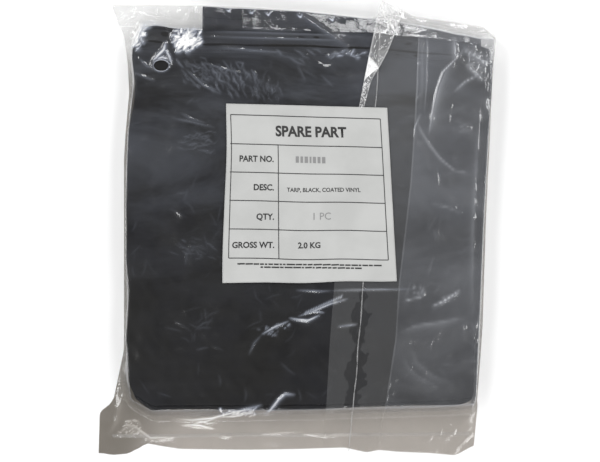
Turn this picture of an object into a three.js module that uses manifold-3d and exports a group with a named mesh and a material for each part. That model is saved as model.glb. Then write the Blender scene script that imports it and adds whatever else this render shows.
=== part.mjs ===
// A coated-vinyl spreader tarp, folded flat and packed in a clear polybag with a paper parts label.
// It lies on its back: +Z is up through the stack, +Y points to the bag's top end, +X to its side fold.
// The origin is on the floor under the middle of the bag. All sizes are in millimetres.
import * as THREE from "three";
import { mergeVertices } from "three/addons/utils/BufferGeometryUtils.js";
import Module from "manifold-3d";

const wasm = await Module();
wasm.setup();

// Driving dimensions.
const FILM = 0.2; // polybag film
const AIR = 0.1; // air between two sheets that lie on each other
const REST_GAP = 0.2; // looser air between the film and the folded tarp
const VINYL = 0.55; // coated vinyl, 18 ounces a square yard
const PLY_PITCH = 0.8; // from one ply to the next inside a leaf
const HEM_THICK = 0.45; // hem tape
const HEM_WIDTH = 20; // hem tape
const LEAVES = 6; // lengthwise folds of the four-ply strip
const PAPER = 0.2; // label sheet
const FOLD_STEPS = 6; // flats in each half turn of a folded sheet

// The stack's footprint: its four corners as seen from above, a slightly uneven rectangle.
const STACK_WIDTH = 320;
const STACK_LENGTH = 336;
const CORNER = {
  bottomLeft: [-156.5, -161],
  bottomRight: [156, -156],
  topRight: [172, 166],
  topLeft: [-150, 182],
};
const CORNER_CUT = 16; // the stack's soft corners are squashed over this length of each edge
const SQUASH = 5.5; // how far in a corner's tip is pushed along both edges

// Heights of the four plies inside a leaf, measured from the leaf's middle line. Ply 3 stands off from
// ply 2 by an extra hem's room, because the hem on ply 2's free edge lies between them.
const HEM_ROOM = 0.6;
const PLY = [-1.5 * PLY_PITCH, -0.5 * PLY_PITCH, 0.5 * PLY_PITCH, 1.5 * PLY_PITCH + HEM_ROOM];
const FACE_LOW = PLY[0] - VINYL / 2; // the leaf's closed side, which carries no hem
const FACE_HIGH = PLY[3] + VINYL / 2; // the leaf's other side
const HEM_LOW = FACE_HIGH + AIR;
const HEM_HIGH = HEM_LOW + HEM_THICK;

// Heights of the leaves' middle lines. Every second leaf is turned over, so the pitches alternate.
const LEAF_AIR = 0.25;
const HEMMED_PITCH = 2 * HEM_HIGH + LEAF_AIR;
const PLAIN_PITCH = -2 * FACE_LOW + LEAF_AIR;
const LEAF_Z = [FILM + REST_GAP - FACE_LOW];
for (let leaf = 1; leaf < LEAVES; leaf++) {
  LEAF_Z.push(LEAF_Z[leaf - 1] + (leaf % 2 ? HEMMED_PITCH : PLAIN_PITCH));
}
const STACK_TOP = LEAF_Z[LEAVES - 1] - FACE_LOW;
const END_HEM_TOP = STACK_TOP + AIR + HEM_THICK;
const FILM_INSIDE = END_HEM_TOP + REST_GAP; // underside of the front film over the stack

// ---------------------------------------------------------------- geometry helpers

const QUARTER = Math.PI / 2;
const MERGE_DISTANCE = 1e-4; // points closer than this are one point
const SHARPEST = 0.5; // a sharper corner than this cosine isn't moved out any further
const BELOW_FLOOR = -1; // solids that only cut others start below the floor
const PRISM = { low: -2, high: 60 }; // a prism's ends, clear of everything in the bag

// 1 at an end, falling evenly to 0 where the squashed corner begins.
function cornerShare(distance) {
  return Math.max(0, 1 - distance / CORNER_CUT);
}

// Where a point of the ideal rectangular stack lies in plan: a across it from the left, b up it.
function lay(a, b) {
  const [left, right] = [cornerShare(a), cornerShare(STACK_WIDTH - a)];
  const [bottom, top] = [cornerShare(b), cornerShare(STACK_LENGTH - b)];
  const s = (a + (left - right) * (bottom + top) * SQUASH) / STACK_WIDTH;
  const t = (b + (bottom - top) * (left + right) * SQUASH) / STACK_LENGTH;
  const { bottomLeft, bottomRight, topLeft, topRight } = CORNER;
  const blend = (axis) => {
    const low = (1 - s) * bottomLeft[axis] + s * bottomRight[axis];
    const high = (1 - s) * topLeft[axis] + s * topRight[axis];
    return (1 - t) * low + t * high;
  };
  return [blend(0), blend(1)];
}

// A closed body through rings of the same number of points. flat is one ring's outline in its own plane.
function loft(rings, flat) {
  const count = flat.length;
  const positions = rings.flat(2);
  const faces = [];
  for (let r = 0; r + 1 < rings.length; r++) {
    for (let i = 0; i < count; i++) {
      const next = (i + 1) % count;
      const [p, q] = [r * count + i, r * count + next];
      faces.push(p, q, q + count, p, q + count, p + count);
    }
  }
  const outline = flat.map(([x, y]) => new THREE.Vector2(x, y));
  const last = (rings.length - 1) * count;
  const turned = THREE.ShapeUtils.isClockWise(outline);
  for (const [i, j, k] of THREE.ShapeUtils.triangulateShape(outline, [])) {
    faces.push(...(turned ? [i, j, k] : [i, k, j]));
    faces.push(...(turned ? [last + i, last + k, last + j] : [last + i, last + j, last + k]));
  }
  return outward(positions, faces);
}

// A BufferGeometry whose faces point out.
function outward(positions, faces) {
  const corner = (i) => new THREE.Vector3(...positions.slice(3 * i, 3 * i + 3));
  let volume = 0;
  for (let f = 0; f < faces.length; f += 3) {
    const [a, b, c] = [corner(faces[f]), corner(faces[f + 1]), corner(faces[f + 2])];
    volume += a.dot(b.cross(c));
  }
  if (volume < 0) faces.reverse();
  const geometry = new THREE.BufferGeometry();
  geometry.setAttribute("position", new THREE.Float32BufferAttribute(positions, 3));
  geometry.setIndex(faces);
  return geometry;
}

function toSolid(geometry) {
  const bare = new THREE.BufferGeometry();
  bare.setAttribute("position", geometry.getAttribute("position"));
  bare.setIndex(geometry.index);
  const merged = mergeVertices(bare, MERGE_DISTANCE);
  const mesh = new wasm.Mesh({
    numProp: 3,
    vertProperties: new Float32Array(merged.attributes.position.array),
    triVerts: new Uint32Array(merged.index.array),
  });
  return new wasm.Manifold(mesh);
}

function toGeometry(solid) {
  const { vertProperties, triVerts } = solid.getMesh();
  const geometry = new THREE.BufferGeometry();
  geometry.setAttribute("position", new THREE.Float32BufferAttribute(vertProperties, 3));
  geometry.setIndex(Array.from(triVerts));
  return geometry;
}

// A flat plate with a closed outline, from one height to another.
function plate(outline, low, high) {
  const ring = (z) => outline.map(([x, y]) => [x, y, z]);
  return loft([ring(low), ring(high)], outline);
}

// An anticlockwise outline moved outwards by a distance, with its corners kept sharp.
function grow(outline, distance) {
  const count = outline.length;
  return outline.map((point, i) => {
    const here = new THREE.Vector2(...point);
    const before = new THREE.Vector2(...outline[(i + count - 1) % count]);
    const after = new THREE.Vector2(...outline[(i + 1) % count]);
    const into = here.clone().sub(before).normalize();
    const out = after.clone().sub(here).normalize();
    const normals = [new THREE.Vector2(into.y, -into.x), new THREE.Vector2(out.y, -out.x)];
    const middle = normals[0].clone().add(normals[1]).normalize();
    const cosine = Math.max(middle.dot(normals[0]), SHARPEST);
    const moved = here.add(middle.multiplyScalar(distance / cosine));
    return [moved.x, moved.y];
  });
}

// A half turn of a sheet round a centre. sense is 1 when it turns left as it goes and -1 when it turns
// right. Each step has its point and the sheet's left-hand normal there.
function halfTurn(centre, radius, startAngle, sense) {
  return Array.from({ length: FOLD_STEPS + 1 }, (_, i) => {
    const angle = startAngle + (sense * Math.PI * i) / FOLD_STEPS;
    const out = [Math.cos(angle), Math.sin(angle)];
    return {
      point: [centre[0] + radius * out[0], centre[1] + radius * out[1]],
      normal: [-sense * out[0], -sense * out[1]],
    };
  });
}

// ---------------------------------------------------------------- the folded tarp

// A straight ply between two distances across the stack, with points where the squashed corners begin.
function straightPly(from, to, height) {
  const across = [from, CORNER_CUT, STACK_WIDTH - CORNER_CUT, to].sort((a, b) => a - b);
  const direction = Math.sign(to - from);
  if (direction < 0) across.reverse();
  return across.map((a) => ({ point: [a, height], normal: [0, direction] }));
}

// The strip's section across the stack: one sheet folded in half twice. It starts at the left free edge of
// ply 3, turns at the right into ply 0, at the left into ply 1, at the right into ply 2 and ends at the left.
function plySection() {
  const outerTurn = (PLY[3] - PLY[0]) / 2;
  const innerTurn = PLY_PITCH / 2;
  const right = STACK_WIDTH - outerTurn;
  const left = innerTurn;
  const middle = [
    ...straightPly(0, right, PLY[3]).slice(0, -1),
    ...halfTurn([right, (PLY[0] + PLY[3]) / 2], outerTurn, QUARTER, -1),
    ...straightPly(right, left, PLY[0]).slice(1, -1),
    ...halfTurn([left, (PLY[0] + PLY[1]) / 2], innerTurn, -QUARTER, -1),
    ...straightPly(left, right, PLY[1]).slice(1, -1),
    ...halfTurn([right, (PLY[1] + PLY[2]) / 2], innerTurn, -QUARTER, 1),
    ...straightPly(right, 0, PLY[2]).slice(1),
  ];
  const side = (distance) => {
    return middle.map(({ point, normal }) => [point[0] + distance * normal[0], point[1] + distance * normal[1]]);
  };
  return [...side(VINYL / 2), ...side(-VINYL / 2).reverse()];
}

// The strip's way through the leaves: places b up the stack and z above the floor, each with the direction
// in which ply heights grow there. Leaf 0 runs down from its free end, and each next leaf runs the other way.
function leafPath() {
  const top = STACK_LENGTH - CORNER_CUT;
  const stations = [{ b: STACK_LENGTH, z: LEAF_Z[0], grows: [0, 1] }];
  for (let leaf = 0; leaf < LEAVES; leaf++) {
    const runsDown = leaf % 2 === 0;
    const grows = [0, runsDown ? 1 : -1];
    for (const b of runsDown ? [top, CORNER_CUT] : [CORNER_CUT, top]) {
      stations.push({ b, z: LEAF_Z[leaf], grows });
    }
    if (leaf + 1 < LEAVES) stations.push(...leafTurn(leaf, runsDown));
  }
  stations.push({ b: STACK_LENGTH, z: LEAF_Z[LEAVES - 1], grows: [0, -1] });
  return stations;
}

// The turn from one leaf up to the next. Ply heights grow against the path's left-hand normal on both turns:
// towards the turn's centre at the bottom end of the stack, and away from it at the top end.
function leafTurn(leaf, atBottom) {
  const radius = (LEAF_Z[leaf + 1] - LEAF_Z[leaf]) / 2;
  const centre = [atBottom ? radius : STACK_LENGTH - radius, LEAF_Z[leaf] + radius];
  return halfTurn(centre, radius, -QUARTER, atBottom ? -1 : 1).map(({ point, normal }) => {
    return { b: point[0], z: point[1], grows: [-normal[0], -normal[1]] };
  });
}

// A section in the strip's own plane, as points across and up, carried along the leaves.
function alongLeaves(section) {
  const rings = leafPath().map(({ b, z, grows }) =>
    section.map(([a, height]) => [...lay(a, b + height * grows[0]), z + height * grows[1]]),
  );
  return loft(rings, section);
}

function tarpPanel() {
  return alongLeaves(plySection());
}

// How far the hems stop short of the vinyl's edges.
const SIDE_INSET = 1;
const END_INSET = 0.5;
const END_HEM_SIDES = 3;

// A hem along a free side edge, at its height in the leaf.
function sideHem(low) {
  const across = [SIDE_INSET, CORNER_CUT, SIDE_INSET + HEM_WIDTH];
  const bottom = across.map((a) => [a, low]);
  const top = across.map((a) => [a, low + HEM_THICK]).reverse();
  return alongLeaves([...bottom, ...top]);
}

// The hem across the top leaf's free end, on its upper face.
function endHem() {
  const [left, right] = [END_HEM_SIDES, STACK_WIDTH - END_HEM_SIDES];
  const [low, shoulder, high] = [HEM_WIDTH, CORNER_CUT, END_INSET].map((depth) => STACK_LENGTH - depth);
  const outline = [
    lay(left, low),
    lay(right, low),
    lay(right, shoulder),
    lay(right, high),
    lay(STACK_WIDTH - CORNER_CUT, high),
    lay(CORNER_CUT, high),
    lay(left, high),
    lay(left, shoulder),
  ];
  return plate(outline, STACK_TOP + AIR, END_HEM_TOP);
}

// The end skirt: a single panel between the two uppermost leaves, which stands out past their top ends.
const SKIRT_TOP_EDGE = [[165, 169], [75, 185], [-86, 197.5]];
const SKIRT_DEPTH = 150;
const SKIRT_TAPER = 5; // how much narrower its hidden edge is
const SKIRT_LOW = LEAF_Z[LEAVES - 2] + FACE_HIGH + AIR;
const SKIRT_HIGH = SKIRT_LOW + VINYL;

function skirtPanel() {
  const [right, , left] = SKIRT_TOP_EDGE;
  const hidden = [[left[0], left[1] - SKIRT_DEPTH], [right[0] - SKIRT_TAPER, right[1] - SKIRT_DEPTH]];
  const outline = [...hidden, ...SKIRT_TOP_EDGE];
  return plate(outline, SKIRT_LOW, SKIRT_HIGH);
}

function skirtHem() {
  const lower = SKIRT_TOP_EDGE.map(([x, y]) => [x, y - HEM_WIDTH]).reverse();
  const upper = SKIRT_TOP_EDGE.map(([x, y]) => [x, y - END_INSET]);
  const base = SKIRT_HIGH + AIR;
  return plate([...lower, ...upper], base, base + HEM_THICK);
}

// A straight rod of square section, standing on a height, between two distances along a line.
function threadRun(line, near, far, width, base, height) {
  const along = new THREE.Vector2(...line.end).sub(new THREE.Vector2(...line.start)).normalize();
  const corner = (distance, side) => [
    line.start[0] + distance * along.x - (side * width * along.y) / 2,
    line.start[1] + distance * along.y + (side * width * along.x) / 2,
  ];
  const outline = [corner(near, -1), corner(far, -1), corner(far, 1), corner(near, 1)];
  return toSolid(plate(outline, base, base + height));
}

// The thread along the end hem's lower edge: raised stitches, joined where the thread dips into the vinyl.
const STITCH = { length: 4, pitch: 6, width: 0.6, height: 0.12, start: 1, inset: 3 };
const DIP = { width: 0.4, height: 0.04 };

function hemThread() {
  const b = STACK_LENGTH - HEM_WIDTH + STITCH.inset;
  const line = { start: lay(CORNER_CUT, b), end: lay(STACK_WIDTH - CORNER_CUT, b) };
  const base = END_HEM_TOP + AIR / 2;
  const count = Math.floor((STACK_WIDTH - 2 * CORNER_CUT) / STITCH.pitch);
  const end = count * STITCH.pitch - STITCH.start;
  let thread = threadRun(line, STITCH.start, end, DIP.width, base, DIP.height);
  for (let i = 0; i < count; i++) {
    const near = i * STITCH.pitch + STITCH.start;
    thread = thread.add(threadRun(line, near, near + STITCH.length, STITCH.width, base, STITCH.height));
  }
  return toGeometry(thread);
}

// ---------------------------------------------------------------- the polybag

// The flat outline of the bag on the floor, anticlockwise from the bottom left corner.
const BAG = [
  [-180.6, -200], [-174, -203], [-151, -202], [-140, -196], [-107, -200], [42, -200], [62, -203.5],
  [72, -201], [143, -206.6], [159, -197], [163, -153], [168, -90], [171, 2], [174, 83], [178.5, 137],
  [180.6, 174], [170, 187], [145, 194], [108, 197.5], [94, 203], [76, 205.5], [75, 193], [0, 199],
  [-88, 205.8], [-169.5, 206.6], [-162, 182], [-157.5, 146], [-157.5, 119], [-162, 62], [-162, -108],
  [-168, -130], [-173.5, -158], [-179, -167],
];

// The outline of all that is inside, seen from above, with the skirt standing out at the top.
const CONTENT = [
  [-143, -165], [145, -161], [157, -152], [173.5, 158], [166.5, 171.5], [75, 186.5], [-87.5, 199],
  [-89, 186], [-141, 186], [-151.5, 176], [-151.5, 118], [-157.5, 50], [-158, -110], [-158, -153],
];

const FOOT = 3; // how far the film meets the floor past the content
const SHOULDER = 1; // how far it stands off the stack's upper edge
const SHOULDER_DROP = 1; // its shoulder is this far below its flat crown
const CROWN_INSET = 1; // the crown starts this far in from the content's outline

// The offsets of the film layers that lie on one another over the content.
const FRONT_LOW = AIR;
const FRONT_HIGH = FRONT_LOW + FILM;
const LAP_LOW = FRONT_HIGH + AIR;
const LAP_HIGH = LAP_LOW + FILM;
const OVER_LOW = LAP_HIGH + AIR;
const OVER_HIGH = OVER_LOW + FILM;

// Everything under the outer face of a film that lies at this offset over the content and the floor.
function blanket(offset) {
  const rings = [
    { grown: FOOT + offset, z: BELOW_FLOOR },
    { grown: FOOT + offset, z: FILM + offset },
    { grown: SHOULDER + offset, z: FILM_INSIDE - SHOULDER_DROP + offset },
    { grown: offset - CROWN_INSET, z: FILM_INSIDE + offset },
  ].map(({ grown, z }) => grow(CONTENT, grown).map(([x, y]) => [x, y, z]));
  const pillow = toSolid(loft(rings, CONTENT));
  const floor = toSolid(plate(BAG, BELOW_FLOOR, FILM + offset));
  return pillow.add(floor);
}

// The film between two offsets.
function layer(inner, outer) {
  return blanket(outer).subtract(blanket(inner));
}

function prism(outline) {
  return toSolid(plate(outline, PRISM.low, PRISM.high));
}

const VENT = { x: -125.5, y: 149.5, radius: 6, sides: 24 };
const WELD = { y: -187, half: 1.6, left: -172, right: 156, slack: 0.1 };

function ventOutline() {
  return Array.from({ length: VENT.sides }, (_, i) => {
    const angle = (2 * Math.PI * i) / VENT.sides;
    return [VENT.x + VENT.radius * Math.cos(angle), VENT.y + VENT.radius * Math.sin(angle)];
  });
}

function weldOutline(slack) {
  const [low, high] = [WELD.y - WELD.half - slack, WELD.y + WELD.half + slack];
  const [left, right] = [WELD.left - slack, WELD.right + slack];
  return [[left, low], [right, low], [right, high], [left, high]];
}

function backFilm() {
  return plate(BAG, 0, FILM);
}

function frontFilm() {
  const film = layer(FRONT_LOW, FRONT_HIGH);
  return toGeometry(film.subtract(prism(ventOutline())).subtract(prism(weldOutline(WELD.slack))));
}

function bottomWeld() {
  return plate(weldOutline(0), FILM + FRONT_LOW, FILM + FRONT_HIGH);
}

// The bag's web is lapped down the front and sealed along one line. The lap leans a little to the right.
const PAST_END = 208; // outlines that only cut a film run this far, past both ends of the bag
const PAST_SIDE = 220;
const LAP = { bottom: [50, -PAST_END], top: [77, PAST_END], half: 27 };
const BEAD_HALF = 0.6;

function lapOutline(half) {
  const [[bottom, low], [top, high]] = [LAP.bottom, LAP.top];
  return [[bottom - half, low], [bottom + half, low], [top + half, high], [top - half, high]];
}

function lapSeam() {
  return toGeometry(layer(LAP_LOW, LAP_HIGH).intersect(prism(lapOutline(LAP.half))));
}

// The spare width of the bag, folded over to the front along the right edge.
const FLAP_EDGE = { bottom: [75.5, -PAST_END], top: [116, PAST_END] };

function sideFlap() {
  const outline = [FLAP_EDGE.bottom, [PAST_SIDE, -PAST_END], [PAST_SIDE, PAST_END], FLAP_EDGE.top];
  return toGeometry(layer(OVER_LOW, OVER_HIGH).intersect(prism(outline)));
}

function lapSeamBead() {
  return toGeometry(layer(OVER_LOW, OVER_HIGH).intersect(prism(lapOutline(BEAD_HALF))));
}

// ---------------------------------------------------------------- the label

const LABEL = [[-70, -47], [88.5, -45], [79.5, 111.5], [-66, 116]];
const LABEL_Z = FILM_INSIDE + OVER_HIGH + AIR;

function paperLabel() {
  return plate(LABEL, LABEL_Z, LABEL_Z + PAPER);
}

// ---------------------------------------------------------------- materials and nodes

const vinyl = new THREE.MeshStandardMaterial({ color: 0x2b2c30, roughness: 0.5, metalness: 0 });
const hemTape = new THREE.MeshStandardMaterial({ color: 0x232428, roughness: 0.55, metalness: 0 });
const thread = new THREE.MeshStandardMaterial({ color: 0x3a3b3f, roughness: 0.7, metalness: 0 });
const paper = new THREE.MeshStandardMaterial({ color: 0xdcdcda, roughness: 0.8, metalness: 0 });
const film = new THREE.MeshStandardMaterial({
  color: 0xd8dadb,
  roughness: 0.15,
  metalness: 0,
  transparent: true,
  opacity: 0.25,
});

const group = new THREE.Group();

function add(name, geometry, material) {
  const mesh = new THREE.Mesh(geometry, material);
  mesh.name = name;
  group.add(mesh);
}

add("tarp_panel", tarpPanel(), vinyl);
add("tarp_end_hem", endHem(), hemTape);
add("tarp_side_hem_outer", sideHem(HEM_LOW), hemTape);
add("tarp_side_hem_inner", sideHem(PLY[2] + VINYL / 2 + 2 * AIR), hemTape);
add("tarp_end_skirt", skirtPanel(), vinyl);
add("tarp_skirt_hem", skirtHem(), hemTape);
add("hem_thread", hemThread(), thread);
add("bag_back_film", backFilm(), film);
add("bag_front_film", frontFilm(), film);
add("bag_bottom_weld", bottomWeld(), film);
add("bag_lap_seam", lapSeam(), film);
add("bag_lap_seam_bead", lapSeamBead(), film);
add("bag_side_flap", sideFlap(), film);
add("paper_label", paperLabel(), paper);

export default group;
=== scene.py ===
import math

import bmesh
import bpy
import numpy as np
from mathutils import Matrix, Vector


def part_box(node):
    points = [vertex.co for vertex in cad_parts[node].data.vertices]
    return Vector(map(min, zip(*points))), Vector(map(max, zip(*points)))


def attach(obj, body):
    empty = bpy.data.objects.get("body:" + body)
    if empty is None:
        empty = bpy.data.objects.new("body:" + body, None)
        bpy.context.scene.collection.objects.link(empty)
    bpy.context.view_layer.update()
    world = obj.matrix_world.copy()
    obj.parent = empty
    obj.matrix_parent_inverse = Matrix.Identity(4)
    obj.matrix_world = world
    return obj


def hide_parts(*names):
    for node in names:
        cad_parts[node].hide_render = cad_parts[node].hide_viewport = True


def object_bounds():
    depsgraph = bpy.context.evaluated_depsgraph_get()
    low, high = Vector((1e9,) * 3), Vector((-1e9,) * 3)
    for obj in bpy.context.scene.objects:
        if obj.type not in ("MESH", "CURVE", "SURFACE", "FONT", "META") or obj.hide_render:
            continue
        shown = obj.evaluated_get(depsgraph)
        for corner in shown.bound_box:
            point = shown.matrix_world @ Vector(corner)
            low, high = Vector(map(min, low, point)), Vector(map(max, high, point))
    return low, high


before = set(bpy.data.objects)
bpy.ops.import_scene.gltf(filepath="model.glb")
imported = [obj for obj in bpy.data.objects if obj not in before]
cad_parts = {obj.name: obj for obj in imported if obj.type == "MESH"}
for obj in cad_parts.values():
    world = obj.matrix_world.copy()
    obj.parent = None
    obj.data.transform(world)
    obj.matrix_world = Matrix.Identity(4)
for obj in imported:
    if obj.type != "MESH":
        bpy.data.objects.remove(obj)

cad_low, cad_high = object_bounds()

# The camera looks straight down on the label from 1.62 m, all but over the pack's middle.
camera = bpy.data.objects.new("camera", bpy.data.cameras.new("camera"))
bpy.context.scene.collection.objects.link(camera)
camera.location = (0.0005, -0.0014, 1.62)
camera.data.lens = 105.6
bpy.context.scene.camera = camera

MM = 0.001
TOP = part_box("tarp_panel")[1].z  # the folded stack's usual height
VINYL = 0.55 * MM
FILM_AIR = 0.5 * MM  # how far the front film floats over the vinyl
LAYER = 0.3 * MM  # from one film to the next that lies on it
FLOOR_AIR = 0.7 * MM  # the front film's height over the floor in the bag's empty margins

# ==== smooth random fields


def swell(x, y, size, seed, waves=7):
    """A smooth field of about -1 to 1 whose hills are about size apart. x and y are in metres."""
    rng = np.random.default_rng(seed)
    total = np.zeros(np.broadcast(x, y).shape)
    for _ in range(waves):
        angle, phase = rng.uniform(0, 2 * math.pi, 2)
        k = 2 * math.pi / size * rng.uniform(0.6, 1.6)
        total += np.sin(k * (x * math.cos(angle) + y * math.sin(angle)) + phase)
    return total / math.sqrt(waves) * 0.75


def ridges(x, y, size, seed, bend=0.35):
    """Sharp crest lines, 1 on a crest and 0 between, as in film that was crumpled and spread again."""
    shift_x = bend * size * swell(x, y, size * 1.7, seed + 1)
    shift_y = bend * size * swell(x, y, size * 1.7, seed + 2)
    field = np.abs(swell(x + shift_x, y + shift_y, size, seed + 3))
    return np.clip(1 - 2.2 * field, 0, 1)


def smooth(low, high, value):
    """0 on low's side and 1 on high's side, with a soft step between."""
    t = np.clip((value - low) / (high - low), 0, 1)
    return t * t * (3 - 2 * t)


def crease(x, y, points, height, width, lean=1.0):
    """One tent-shaped crease along points, in millimetres, which fades out at both ends. Its right-hand slope
    is lean times as wide as its left-hand one."""
    points = np.array(points, float) * MM
    steps = np.linalg.norm(np.diff(points, axis=0), axis=1)
    run = 0.0
    near, along, side = np.full(x.shape, 1e9), np.zeros(x.shape), np.zeros(x.shape)
    for start, end, step in zip(points[:-1], points[1:], steps):
        (dx, dy), px, py = end - start, x - start[0], y - start[1]
        t = np.clip((px * dx + py * dy) / step**2, 0, 1)
        gap = np.hypot(px - t * dx, py - t * dy)
        closer = gap < near
        near = np.where(closer, gap, near)
        along = np.where(closer, (run + t * step) / steps.sum(), along)
        side = np.where(closer, dx * py - dy * px, side)
        run += step
    fade = np.sqrt(np.clip(np.sin(math.pi * along), 0, 1))
    slope = width * MM * np.where(side > 0, 1.0, lean)
    return height * MM * fade * np.exp(-near / slope)


class Relief:
    """A film's own creases, drawn once on a fine lattice over the bag and read back anywhere."""

    STEP = 0.45 * MM

    def __init__(self, strokes, hatches):
        self.x = np.arange(cad_low.x - 12 * MM, cad_high.x + 12 * MM, self.STEP)
        self.y = np.arange(cad_low.y - 12 * MM, cad_high.y + 12 * MM, self.STEP)
        self.height = np.zeros((len(self.y), len(self.x)))
        self.milk_and_sheen = np.zeros((len(self.y), len(self.x)))
        for *points, height, width, lean, milk_and_sheen in strokes:
            self.stroke(points, height, width, lean, milk_and_sheen)
        for patch in hatches:
            self.hatch(*patch)

    def stroke(self, points, height, width, lean, milk_and_sheen):
        """Adds one crease, given as for crease(). Where creases meet, the higher one shows. milk_and_sheen is
        how
        white its crest is: partly the cloudiness of creased film and partly a painted highlight for the light
        it catches."""
        reach = 5 * width * max(1.0, lean) * MM
        (x_low, y_low), (x_high, y_high) = np.min(points, axis=0) * MM, np.max(points, axis=0) * MM
        columns = slice(*np.searchsorted(self.x, (x_low - reach, x_high + reach)))
        rows = slice(*np.searchsorted(self.y, (y_low - reach, y_high + reach)))
        x, y = np.meshgrid(self.x[columns], self.y[rows])
        if x.size:
            drawn = crease(x, y, points, height, width, lean)
            self.height[rows, columns] = np.maximum(self.height[rows, columns], drawn)
            # Painted highlight: the crest is whitened, most on its crest, partly for the creased film's
            # cloudiness.
            white = milk_and_sheen * (drawn / (height * MM)) ** 1.8
            self.milk_and_sheen[rows, columns] = np.maximum(self.milk_and_sheen[rows, columns], white)

    def hatch(self, seed, count, centre, spread, angle, length, height, width, turn, bow, milk_and_sheen):
        """A patch of many short creases round a centre. angle is their usual direction and turn how far they
        stray from it, in degrees. bow is how bent they are."""
        rng = np.random.default_rng(seed)
        for _ in range(count):
            middle = np.array(centre) + np.clip(rng.normal(0, 0.5, 2), -1, 1) * spread
            heading = math.radians(angle + rng.normal(0, turn))
            half = length * rng.uniform(0.3, 0.65)
            ahead = np.array([math.cos(heading), math.sin(heading)])
            aside = np.array([-ahead[1], ahead[0]]) * half * rng.normal(0, bow)
            points = [middle - half * ahead, middle + aside, middle + half * ahead]
            size = rng.uniform(0.45, 1)
            # Each short crease gets its own whiteness, partly painted highlight.
            lean, white = rng.choice([0.5, 1.0, 1.8]), milk_and_sheen * rng.uniform(0.3, 1.3)
            self.stroke(points, height * size, width * rng.uniform(0.7, 1.2), lean, white)

    def at(self, x, y):
        return self.read(self.height, x, y)

    def milk_and_sheen_at(self, x, y):
        return self.read(self.milk_and_sheen, x, y)

    def read(self, field, x, y):
        column = np.clip((x - self.x[0]) / self.STEP, 0, len(self.x) - 1.001)
        row = np.clip((y - self.y[0]) / self.STEP, 0, len(self.y) - 1.001)
        c, r = column.astype(int), row.astype(int)
        u, v = column - c, row - r
        low = field[r, c] * (1 - u) + field[r, c + 1] * u
        high = field[r + 1, c] * (1 - u) + field[r + 1, c + 1] * u
        return low * (1 - v) + high * v


# ==== outlines


def edge(*points):
    """A soft curve through (along, across) points in millimetres, as a function in metres."""
    points = np.array(sorted(points), float) * MM

    def at(value):
        blur = 2 * MM
        reads = [np.interp(value + k * blur, points[:, 0], points[:, 1]) for k in (-1, -0.5, 0, 0.5, 1)]
        return sum(reads) / len(reads)

    return at


# Left and right edges and the seam give x at a y. Bottom and top edges and the skirt's end give y at an x.
stack_left = edge(
    (-166, -148), (-154, -152.5), (-138, -155), (-111, -156), (-100, -157.3), (-64, -155), (-46, -155.5),
    (-28, -157), (27, -157), (63, -156), (90, -155), (110, -152.5), (134, -149.5), (152, -151.5), (165, -152),
    (172, -147.5), (186, -141),
)
stack_right = edge(
    (-162, 157.5), (-150, 160), (-64, 163.8), (0, 166.4), (60, 169.6), (120, 173.2), (170, 176.5), (180, 176),
    (190, 170),
)
stack_bottom = edge(
    (-158, -152), (-152, -154.5), (-134, -164.3), (-120, -163.8), (0, -163), (80, -161), (140, -159),
    (165, -157),
)
stack_top = edge(
    (-152, 186), (-141, 185.5), (-125, 184), (-108, 181.6), (-60, 181.8), (0, 180.5), (71, 178), (90, 176),
    (130, 172.5), (178, 166),
)
bag_left = edge(
    (-206, -180.5), (-196, -180.2), (-170, -179.5), (-168, -178.8), (-161, -172), (-131, -165.7),
    (-111, -161.5), (-60, -161.4), (65, -161.4), (91, -159.8), (126, -156.6), (152, -158), (163, -159.5),
    (180, -162), (190, -167), (208, -173),
)
bag_right = edge(
    (-206, 156.5), (-198, 159.5), (-156, 163.5), (-110, 167), (-88, 168.4), (-37, 170), (10, 171.6),
    (45, 173.2), (81, 175), (127, 176.8), (152, 178.6), (174, 180.8), (190, 176),
)
bag_bottom = edge(
    (-181, -203.3), (-172, -205), (-151, -203.2), (-140.5, -196.6), (-128, -199), (-110, -201.8),
    (-49.5, -202.7), (0, -201.9), (41, -200.5), (62, -205), (73, -202.7), (90, -204.4), (120, -205.6),
    (143.6, -207.7), (160, -198.8), (165, -198),
)
bag_top = edge(
    (-173, 207.4), (-150, 207), (-88, 206), (-40, 204.2), (0, 201), (37, 197.2), (60, 194.5), (78, 196),
    (95, 201.5),
    (105, 196), (142, 191), (170, 186), (181, 175),
)
seam_x = edge((-205, 45.5), (-164, 48.6), (-50.5, 57.7), (111.4, 68.6), (184, 73.8), (205, 75.5))
lap_left = edge(
    (-205, 21.5), (-167, 23.9), (-100, 27.7), (-49, 31.6), (10, 40), (111, 53.9), (140, 59.5), (160, 63.4),
    (180, 67.5), (205, 73),
)
flap_left = edge(
    (-205, 72), (-164, 77), (-99, 86.8), (-49, 89.9), (43, 100.5), (103, 104.5), (160, 107), (205, 109)
)
skirt_end = edge(
    (-90, 200.6), (-60, 198.6), (-36, 197.6), (0, 195.8), (37, 191.8), (72, 187.8), (91, 185), (116, 180.5),
    (142, 174.8), (165, 170.8), (180, 169.5),
)

HALF_X = 157 * MM  # nominal half width of the stack
LOW_Y, HIGH_Y = -162 * MM, 178 * MM  # nominal ends of the stack


def on_edges(s, t):
    """The plan position that is a share s across the stack and a share t up it, by its curved edges."""
    x, y = (2 * s - 1) * HALF_X, LOW_Y + (HIGH_Y - LOW_Y) * t
    for _ in range(4):
        left, right = stack_left(y), stack_right(y)
        x = left + (right - left) * s
        bottom, top = stack_bottom(x), stack_top(x)
        y = bottom + (top - bottom) * t
    return x, y


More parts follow.
